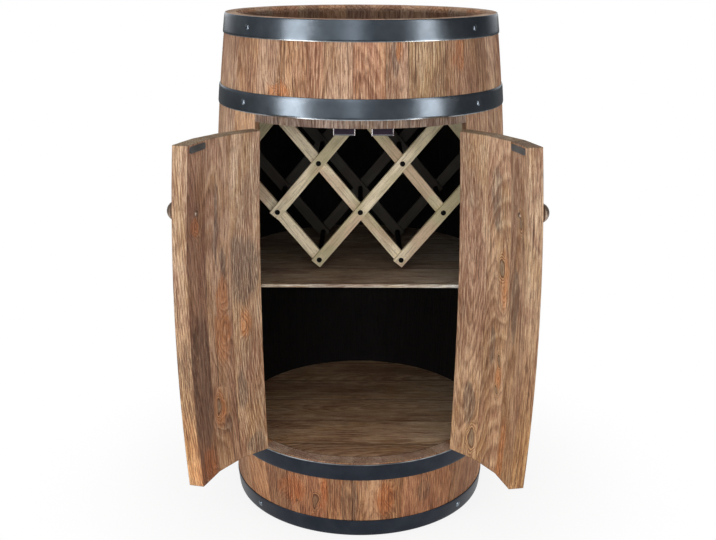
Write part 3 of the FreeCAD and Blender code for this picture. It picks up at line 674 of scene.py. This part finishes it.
# Tints of the cut edges, towards the top of the door and towards its foot, and the heights between
# which one gives way to the other.
CUT_EDGE = {"left": (1.03, 1.06, 1.05, 1.0), "right": (0.88, 0.88, 0.84, 1.0)}
CUT_FOOT = {"left": (1.40, 1.30, 1.06, 1.0), "right": (0.83, 0.76, 0.60, 1.0)}
CUT_HEIGHTS = (0.22, 0.44)
# Where a board's face gives way to its cut edge, from 0 on its middle line to 1 at the edge.
CUT_START = (0.985, 0.998)
# End grain, and how far from the end of a board it shows.
END_GRAIN = (0.48, 0.53, 0.52, 1.0)
END_BAND = 0.001


def hinge_of(side):
    """The joint of the left or the right door, as the frame gives it."""
    return next(j for j in frame["joints"] if j["name"] == side + "_door_hinge")


def shut_angle(side):
    """Degrees about Z that shut the door, as its hinge's range says."""
    low, high = hinge_of(side)["range_deg"]
    return high if side == "left" else low


def dress_doors():
    """The boards of the doors, each with its grain laid as if the door were shut."""
    for side, sign in (("left", -1), ("right", 1)):
        hinge = Vector(hinge_of(side)["pos_m"])
        hinge.z = 0.0
        shut = shut_angle(side)
        for number in range(BOARDS_PER_DOOR):
            name = "%s_door_board_%d" % (side, number + 1)
            facing = sign * (DOOR_FREE_ANGLE + (number + 0.5) * BOARD_ANGLE)
            back = Matrix.Rotation(math.radians(shut), 3, "Z")
            aim = Matrix.Rotation(-math.radians(facing), 3, "Z")
            location = aim @ (hinge - back @ hinge)
            material, t, shader, coordinates = new_material(name + "_wood")
            local = turned(t, coordinates, facing - shut, location)
            space = t.use(BOARD_SPACE, Vector=local, Half_Angle=math.radians(BOARD_ANGLE / 2))
            position = space["Position"]
            fields = {}
            for kind, places in DOOR_MARKS[side, number + 1].items():
                fields[kind] = knot_field(t, position, places)
            cut = t.step(space["Edge"], *CUT_START)
            _, depth, z = t.separate(position)
            cut_tint = t.mix(t.step(z, *CUT_HEIGHTS), CUT_FOOT[side], CUT_EDGE[side])
            tint = t.mix(cut, DOOR_TINTS[side][number], cut_tint)
            top_end = t.step(z, DOOR_TOP - END_BAND, DOOR_TOP)
            foot_end = t.step(z, DOOR_BOTTOM + END_BAND, DOOR_BOTTOM)
            end = t.math("MAXIMUM", top_end, foot_end)
            tint = t.mix(end, tint, END_GRAIN)
            seam = board_edges(t, space["Edge"], depth, (BOARD_SET_IN, BOARD_SET_IN + STAVE_THICKNESS))
            dress_wood(t, shader, position, DOOR_SEEDS[side] + number, tint, seam, **fields)
            put(material, name)


# ---- heads, shelf and cleats ----
DARK_BOARD_WIDTH = 0.085
# A seam between the dark boards is drawn this many times as strong, to show under the stain, and starts
# at the first of these places from a board's middle line, where 1 is its edge.
DARK_SEAM = 6.0
DARK_SEAM_START = (0.970, 0.985)
# The shelf's front edge: bare wood, brightened further as a painted highlight.
BARE_EDGE_AND_HIGHLIGHT = (2.0, 3.4, 5.7, 1.0)
# The shelf's top is tinted grey: a painted sheen of the light it mirrors.
SHELF_PAINTED_SHEEN = (1.05, 1.5, 2.1, 1.0)
GREY_FLOOR = (1.20, 1.48, 1.74, 1.0)


def dress_dark_boards():
    """Round boards, shelf and cleats: stained wood whose grain runs from side to side."""
    for name, stain in (
        ("bottom_head", 0.3),
        ("floor_board", 0.22),
        ("ceiling_board", 0.9),
        ("top_head", 0.45),
        ("middle_shelf", 0.42),
        ("shelf_cleats", 0.9),
        ("catch_rail", 0.9),
    ):
        material, t, shader, coordinates = new_material(name + "_wood")
        x, y, z = t.separate(coordinates)
        board = t.math("FLOOR", t.math("DIVIDE", t.math("ADD", y, 1.0), DARK_BOARD_WIDTH))
        along = t.math("MODULO", t.math("ADD", y, 1.0), DARK_BOARD_WIDTH)
        along = t.math("SUBTRACT", along, DARK_BOARD_WIDTH / 2)
        position = t.combine(along, t.math("SUBTRACT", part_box(name)[1].z, z), x)
        edge = t.math("DIVIDE", t.math("ABSOLUTE", along), DARK_BOARD_WIDTH / 2)
        seam = t.step(edge, *DARK_SEAM_START, 0.0, DARK_SEAM)
        tint = GREY_FLOOR if name == "floor_board" else PLAIN
        if name == "middle_shelf":
            # the front edge is unstained wood, brightened further into a painted highlight
            front = t.step(y, SHELF_FRONT_Y + SHELF_BAND[0], SHELF_FRONT_Y + SHELF_BAND[1])
            stain = t.step(front, 0.0, 1.0, stain, 0.0)
            # its grey top is a painted sheen
            tint = t.mix(front, SHELF_PAINTED_SHEEN, BARE_EDGE_AND_HIGHLIGHT)
        dress_wood(t, shader, position, board, tint, seam, stain)
        put(material, name)


# ---- the wine rack ----
SLAT_CREAM = srgb(250, 234, 202)
SLAT_OLIVE = srgb(204, 192, 152)
SLAT_TAN = srgb(214, 182, 152)
SLAT_LINE = srgb(150, 132, 100)
SLAT_RELIEF = 0.0002
# The rear slats are darkened almost to black: painted shade deep inside the cupboard.
REAR_PAINTED_SHADE = 0.94


def slat_group():
    """Pale planed slats: fibres along the slat, and slow changes between cream, olive and tan."""
    t, given, result = new_group(
        "planed_slat", {"Position": "vector", "Seed": "number"}, {"Color": "colour", "Height": "number"}
    )
    place = t.vector("ADD", given["Position"], t.combine(given["Seed"], given["Seed"], given["Seed"]))
    broad = t.noise(t.scaled(place, 20.0, 20.0, 9.0), 2.0)
    blush = t.noise(t.scaled(place, 13.0, 13.0, 13.0), 2.0)
    fibre = t.noise(t.scaled(place, 420.0, 420.0, 24.0), 4.0, 0.6)
    grit = t.noise(t.scaled(place, 420.0, 420.0, 300.0), 3.0, 0.6)
    colour = t.mix(t.step(broad, 0.40, 0.60), SLAT_CREAM, SLAT_OLIVE)
    colour = t.mix(t.step(blush, 0.50, 0.62, 0.0, 0.75), colour, SLAT_TAN)
    colour = t.mix(t.step(fibre, 0.45, 0.66, 0.0, 0.55), colour, SLAT_LINE)
    colour = t.mix(t.step(grit, 0.52, 0.70, 0.0, 0.40), colour, SLAT_LINE)
    t.feed(result["Color"], colour)
    t.feed(result["Height"], fibre)
    return t.tree


def dress_rack():
    """The slats of the two lattices, with a seed for each slat from its distance across."""
    slat = slat_group()
    lean = math.atan2(RACK_NODE.z, RACK_NODE.x)
    spacing = 2 * RACK_NODE.x * math.sin(lean)
    for name, rising in (
        ("front_rising_slats", True),
        ("rear_rising_slats", True),
        ("front_falling_slats", False),
        ("rear_falling_slats", False),
    ):
        material, t, shader, coordinates = new_material(name + "_wood")
        node = t.add("ShaderNodeMapping", vector_type="POINT")
        t.feed(node.inputs["Vector"], coordinates)
        node.inputs["Rotation"].default_value = (0.0, lean if rising else -lean, 0.0)
        along, deep, across = t.separate(node.outputs[0])
        number = t.math("FLOOR", t.math("DIVIDE", across, spacing))
        colours = t.use(slat, Position=t.combine(across, deep, along), Seed=number)
        # painted shade: the rear slats are darkened almost to black
        blackening = REAR_PAINTED_SHADE if name.startswith("rear") else 0.0
        t.feed(shader.inputs["Base Color"], t.mix(blackening, colours["Color"], BLACK_STAIN_AND_SHADE))
        t.feed(shader.inputs["Normal"], t.bump(colours["Height"], SLAT_RELIEF))
        shader.inputs["Roughness"].default_value = 0.55
        put(material, name)


# ---- metal ----
def metal_wear_group():
    """Cloudy polish and fine scratches: a colour between two, and a roughness."""
    ends = {"Dark": "colour", "Light": "colour", "Smooth": "number", "Rough": "number"}
    outputs = {"Color": "colour", "Roughness": "number", "Height": "number"}
    t, given, result = new_group("metal_wear", {"Position": "vector", **ends}, outputs)
    cloud = t.noise(t.scaled(given["Position"], 24.0, 24.0, 24.0), 5.0, 0.6)
    scratch = t.noise(t.scaled(given["Position"], 60.0, 60.0, 1400.0), 3.0, 0.6)
    t.feed(result["Color"], t.mix(t.step(cloud, 0.3, 0.7), given["Dark"], given["Light"]))
    span = t.math("SUBTRACT", given["Rough"], given["Smooth"])
    blend = t.math("ADD", t.math("MULTIPLY", cloud, 0.6), t.math("MULTIPLY", scratch, 0.4))
    t.feed(result["Roughness"], t.math("ADD", given["Smooth"], t.math("MULTIPLY", blend, span)))
    t.feed(result["Height"], scratch)
    return t.tree


# A hoop's edge is bare up to the first distance from it and as dark as its face beyond the second; the bare
# edge is partly real wear and partly a painted highlight.
WORN_HIGHLIGHT_WIDTHS = (0.0008, 0.0018)


def worn_edge_highlight_group():
    """1 along the edge of a hoop at a given height, broken up where the edge is less worn: partly real wear,
    partly a painted highlight.
    """
    t, given, result = new_group("worn_edge_highlight", {"Position": "vector", "Edge": "number"}, {"Mask": "number"})
    off = t.math("ABSOLUTE", t.math("SUBTRACT", t.separate(given["Position"])[2], given["Edge"]))
    patchy = t.noise(t.scaled(given["Position"], 50.0, 50.0, 50.0), 3.0)
    bare = t.step(patchy, 0.36, 0.56, 0.45, 1.0)
    t.feed(result["Mask"], t.math("MULTIPLY", t.step(off, *WORN_HIGHLIGHT_WIDTHS, 1.0, 0.0), bare))
    return t.tree


METAL_WEAR = metal_wear_group()
WORN_EDGE_HIGHLIGHT = worn_edge_highlight_group()
SCRATCH_DEPTH = 0.00002
BURNISHED_HIGHLIGHT = srgb(206, 210, 212)


def metal(name, dark, light, smooth, rough, metallic=1.0, worn_highlight_edges=(), wear_highlight_strength=0.8):
    """Worn metal, lighter along a hoop's edges at the given heights: burnished wear and a painted highlight.
    """
    material, t, shader, coordinates = new_material(name)
    wear = t.use(METAL_WEAR, Position=coordinates, Dark=dark, Light=light, Smooth=smooth, Rough=rough)
    colour = wear["Color"]
    for edge in worn_highlight_edges:
        mask = t.use(WORN_EDGE_HIGHLIGHT, Position=coordinates, Edge=edge)["Mask"]
        # the lighter edge is partly wear and partly a painted highlight
        colour = t.mix(t.math("MULTIPLY", mask, wear_highlight_strength), colour, BURNISHED_HIGHLIGHT)
    t.feed(shader.inputs["Base Color"], colour)
    t.feed(shader.inputs["Roughness"], wear["Roughness"])
    t.feed(shader.inputs["Normal"], t.bump(wear["Height"], SCRATCH_DEPTH))
    shader.inputs["Metallic"].default_value = metallic
    return material


# Heights of the hoops' edges that are lighter: partly worn bright, partly a painted highlight.
TOP_HOOP_FOOT = 0.770
UPPER_HOOP_FOOT = 0.664
LOWER_HOOP_TOP = 0.132

HOOP_SEAT = 0.00003
HOOP_THICKNESS = 0.0016
ROLL_WIDTH = 0.004
ROLL_DROP = 0.0007
CORNER_RADIUS = 0.0004
ROUND_STEPS = 288
SHARP_DEGREES = 35


def hoop_section(height):
    """Offsets from the bulge and rises above the hoop's foot, once round its section.

    At a distance s from an edge the outer face has dropped by ROLL_DROP (1 - s / ROLL_WIDTH) squared. A
    quarter circle, a little less, joins it to the flat edge. The upper half mirrors the lower half.
    """
    lean = math.atan(2 * ROLL_DROP / ROLL_WIDTH)
    turn = np.linspace(-math.pi / 2, -lean, 6)
    rise = CORNER_RADIUS * (1 + np.sin(turn))
    face = np.concatenate([np.linspace(rise[-1], ROLL_WIDTH, 8), np.linspace(ROLL_WIDTH, height / 2, 6)[1:]])
    drop = ROLL_DROP * np.clip(1 - face / ROLL_WIDTH, 0, None) ** 2
    outer = HOOP_SEAT + HOOP_THICKNESS - drop
    corner = outer[0] + CORNER_RADIUS * (np.cos(turn) - math.cos(lean))
    offsets = np.concatenate([[HOOP_SEAT], corner, outer[1:]])
    rises = np.concatenate([[0.0], rise, face[1:]])
    inner = np.linspace(height, 0, 6)[1:-1]
    offsets = np.concatenate([offsets, offsets[-2::-1], np.full(len(inner), HOOP_SEAT)])
    rises = np.concatenate([rises, height - rises[-2::-1], inner])
    return offsets, rises


def roll_hoop(name, material):
    """A steel band with its edges rolled in, its section carried round the Z axis on the bulge.

    The bulge is an arc of radius BULGE_ARC, so at height z and an offset d outside it the radius is
    BULGE_RADIUS - BULGE_ARC + sqrt((BULGE_ARC + d) squared - (z - MIDDLE) squared).
    """
    low, high = (corner.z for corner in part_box(name))
    offsets, rises = hoop_section(high - low)
    heights = low + rises
    radii = BULGE_RADIUS - BULGE_ARC + np.sqrt((BULGE_ARC + offsets) ** 2 - (heights - MIDDLE) ** 2)
    azimuths = np.linspace(0, 2 * math.pi, ROUND_STEPS, endpoint=False)[:, None]
    points = np.stack([np.sin(azimuths) * radii, -np.cos(azimuths) * radii, heights + 0 * azimuths], axis=-1)
    around, along = np.meshgrid(np.arange(ROUND_STEPS), np.arange(len(radii)), indexing="ij")
    next_around = (around + 1) % ROUND_STEPS
    next_along = (along + 1) % len(radii)
    corners = [(around, along), (next_around, along), (next_around, next_along), (around, next_along)]
    faces = np.stack([i * len(radii) + j for i, j in corners], axis=-1)
    mesh = bpy.data.meshes.new("rolled_" + name)
    mesh.from_pydata(points.reshape(-1, 3).tolist(), [], faces.reshape(-1, 4).tolist())
    mesh.shade_smooth()
    mesh.set_sharp_from_angle(angle=math.radians(SHARP_DEGREES))
    mesh.materials.append(material)
    hoop = bpy.data.objects.new("rolled_" + name, mesh)
    bpy.context.collection.objects.link(hoop)
    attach(hoop, "cabinet")
    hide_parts(name)


def dress_metal():
    """Hoops and rivets, rods, hinges, knobs, strike plates and catches."""
    dark, light = srgb(101, 111, 121), srgb(120, 130, 141)
    edges = (UPPER_HOOP_FOOT, TOP_HOOP_FOOT)
    bright = metal("blued_hoop_steel", dark, light, 0.17, 0.32, worn_highlight_edges=edges)
    # The lower hoops get a darker copy of the hoop steel, a painted shade where they catch less light.
    dark, light = srgb(40, 44, 52), srgb(50, 54, 62)
    painted_shade_steel = metal("dark_hoop_steel", dark, light, 0.34, 0.5, worn_highlight_edges=(LOWER_HOOP_TOP,), wear_highlight_strength=0.4)
    for name, steel in (
        ("hoop_top", bright),
        ("hoop_upper", bright),
        ("hoop_lower", painted_shade_steel),
        ("hoop_bottom", painted_shade_steel),
    ):
        roll_hoop(name, steel)
    put(bright, "hoop_rivets")
    rod = metal("black_rod", srgb(4, 4, 4), srgb(8, 8, 8), 0.6, 0.8, 0.0)
    rod.node_tree.nodes["Principled BSDF"].inputs["Specular IOR Level"].default_value = 0.2
    put(rod, "rack_rods")
    hinge = metal("blackened_hinge_steel", srgb(46, 42, 40), srgb(70, 64, 60), 0.35, 0.55)
    put(hinge, "barrel_hinge_leaves", "left_hinge_leaves", "right_hinge_leaves", "hinge_pins")
    put(hinge, "barrel_hinge_screws", "left_hinge_screws", "right_hinge_screws")
    knob = metal("aged_knob_metal", srgb(140, 122, 108), srgb(168, 150, 136), 0.38, 0.55)
    put(knob, "left_knob", "right_knob", "left_knob_screw", "right_knob_screw")
    plate = metal("dark_strike_plate", srgb(78, 80, 82), srgb(108, 110, 112), 0.25, 0.4, 0.3)
    put(plate, "left_strike_plate", "right_strike_plate")
    put(metal("catch_nickel", srgb(196, 194, 200), srgb(222, 220, 226), 0.15, 0.3), "catch_housings")
    put(metal("catch_magnet", srgb(40, 26, 44), srgb(58, 44, 60), 0.3, 0.5, 0.4), "catch_magnets")


# ---- the studio ----
# How bright the world is for the wood, where 1 is white.
FILL_LEVEL = 0.50
# The floor lies this far below the barrel's foot and reaches this far each way.
FLOOR_DROP = 0.0005
FLOOR_HALF_SIZE = 30.0
FLOOR_GREY = (0.86, 0.86, 0.86, 1.0)
# Distances from the barrel's axis between which the floor turns plain white, and the share of white
# that it has near the barrel.
SHADE_REACH = (0.2, 0.6)
NEAR_WHITE = 0.84
# Distances between which the floor darkens where metal mirrors it, and how bright it is beyond them.
MIRROR_REACH = (1.0, 2.2)
FAR_MIRRORED = 0.14


def soft_box(name, azimuth, elevation, distance, width, height, strength, colour=(1.0, 1.0, 1.0)):
    """An area light that looks at the barrel's middle; strength is how bright its face is."""
    data = bpy.data.lights.new(name, "AREA")
    data.shape = "RECTANGLE"
    data.size = width
    data.size_y = height
    data.energy = strength * math.pi * width * height
    data.color = colour
    light = bpy.data.objects.new(name, data)
    bpy.context.collection.objects.link(light)
    a, e = math.radians(azimuth), math.radians(elevation)
    away = Vector((math.sin(a) * math.cos(e), -math.cos(a) * math.cos(e), math.sin(e)))
    light.location = Vector((0, 0, MIDDLE)) + away * distance
    light.rotation_euler = away.to_track_quat("Z", "Y").to_euler()
    return light


def light_world():
    """White behind the barrel as the camera and the metal see it, and a softer even light on everything."""
    world = bpy.data.worlds.new("studio")
    world.use_nodes = True
    bpy.context.scene.world = world
    t = Nodes(world.node_tree)
    background = world.node_tree.nodes["Background"]
    path = t.add("ShaderNodeLightPath").outputs
    direction = t.add("ShaderNodeTexCoord").outputs["Generated"]
    sideways, forward, _ = t.separate(direction)
    # what metal mirrors: a lamp and an even front, darker sides, and a bright wall behind the barrel
    front = t.step(sideways, -0.30, 0.20, 0.50, 0.27)
    side = t.step(sideways, -0.50, 0.50, 0.25, 0.10)
    turn = t.step(forward, -0.75, -0.45)
    lamp = t.step(t.math("ABSOLUTE", t.math("ADD", sideways, 0.09)), 0.0, 0.16, 1.12, 0.0)
    ahead = t.math("MULTIPLY", t.math("ADD", front, lamp), t.math("SUBTRACT", 1.0, turn))
    studio = t.math("ADD", ahead, t.math("MULTIPLY", side, turn))
    studio = t.math("ADD", studio, t.step(forward, 0.55, 0.98, 0.0, 0.84))
    mirror = t.math("MAXIMUM", path["Is Glossy Ray"], path["Is Transmission Ray"])
    off = t.math("SUBTRACT", studio, FILL_LEVEL)
    level = t.math("ADD", FILL_LEVEL, t.math("MULTIPLY", mirror, off))
    level = t.math("MAXIMUM", level, path["Is Camera Ray"])
    t.feed(background.inputs["Color"], t.combine(level, level, level))
    background.inputs["Strength"].default_value = 1.0


def lay_floor():
    """A pale floor that keeps the barrel's shadow near it and turns to plain white further off."""
    size = FLOOR_HALF_SIZE
    mesh = bpy.data.meshes.new("floor")
    corners = [(-size, -size), (size, -size), (size, size), (-size, size)]
    mesh.from_pydata([(x, y, -FLOOR_DROP) for x, y in corners], [], [(0, 1, 2, 3)])
    floor = bpy.data.objects.new("floor", mesh)
    bpy.context.collection.objects.link(floor)
    material, t, shader, coordinates = new_material("pale_floor")
    shader.inputs["Base Color"].default_value = FLOOR_GREY
    shader.inputs["Roughness"].default_value = 0.9
    x, y, _ = t.separate(coordinates)
    reach = t.math("SQRT", t.math("ADD", t.math("MULTIPLY", x, x), t.math("MULTIPLY", y, y)))
    path = t.add("ShaderNodeLightPath").outputs
    glow = t.add("ShaderNodeEmission")
    lit = t.math("MAXIMUM", path["Is Camera Ray"], t.step(reach, *MIRROR_REACH, 1.0, FAR_MIRRORED))
    t.feed(glow.inputs["Color"], t.combine(lit, lit, lit))
    seen = t.math("MAXIMUM", path["Is Camera Ray"], path["Is Glossy Ray"])
    blend = t.add("ShaderNodeMixShader")
    t.feed(blend.inputs[0], t.math("MULTIPLY", seen, t.step(reach, *SHADE_REACH, NEAR_WHITE, 1.0)))
    t.feed(blend.inputs[1], shader.outputs[0])
    t.feed(blend.inputs[2], glow.outputs[0])
    t.feed(material.node_tree.nodes["Material Output"].inputs["Surface"], blend.outputs[0])
    mesh.materials.append(material)


WARM_WHITE = (1.0, 0.96, 0.92)


def set_lights():
    """Broad lights for the wood, and upright strips that only the metal mirrors, brighter near the floor."""
    # name, azimuth, elevation, distance, width, height, strength
    strips = [
        soft_box("left_strip", -52, 14, 3.0, 1.0, 2.6, 3.1, WARM_WHITE),
        soft_box("right_strip", 53, 14, 3.0, 0.8, 2.6, 2.7, WARM_WHITE),
        soft_box("left_middle_strip", -50, 8.7, 1.3, 0.45, 0.4, 1.4, WARM_WHITE),
        soft_box("right_middle_strip", 52, 8.7, 1.3, 0.40, 0.4, 1.4, WARM_WHITE),
        soft_box("left_low_strip", -48, -8.7, 1.3, 0.55, 0.4, 5.0, WARM_WHITE),
        soft_box("right_low_strip", 50, -8.7, 1.3, 0.50, 0.4, 5.0, WARM_WHITE),
    ]
    for light in strips:
        light.visible_diffuse = False
    broad = [
        soft_box("left_soft_box", -50, 16, 3.0, 1.2, 2.4, 2.3),
        soft_box("right_soft_box", 52, 16, 3.0, 1.0, 2.4, 1.3),
        soft_box("front_soft_box", 0, 20, 3.2, 2.4, 1.8, 1.75),
        soft_box("top_soft_box", 0, 74, 2.6, 2.2, 2.2, 1.2),
    ]
    for light in broad:
        light.visible_glossy = False


def set_camera():
    """A camera in front of the doors that looks down at the barrel."""
    data = bpy.data.cameras.new("camera")
    data.sensor_fit = "HORIZONTAL"
    data.sensor_width = SENSOR_WIDTH
    data.lens = FOCAL_PIXELS / PICTURE_WIDTH * SENSOR_WIDTH
    camera = bpy.data.objects.new("camera", data)
    bpy.context.collection.objects.link(camera)
    camera.location = (0.0, -CAMERA_DISTANCE, CAMERA_HEIGHT)
    camera.rotation_euler = (math.pi / 2 - CAMERA_PITCH, CAMERA_ROLL, CAMERA_YAW)
    bpy.context.scene.camera = camera


dress_full_staves()
dress_front_staves()
dress_doors()
dress_dark_boards()
dress_rack()
dress_metal()
light_world()
lay_floor()
set_lights()
set_camera()
bpy.context.scene.view_settings.view_transform = "Standard"
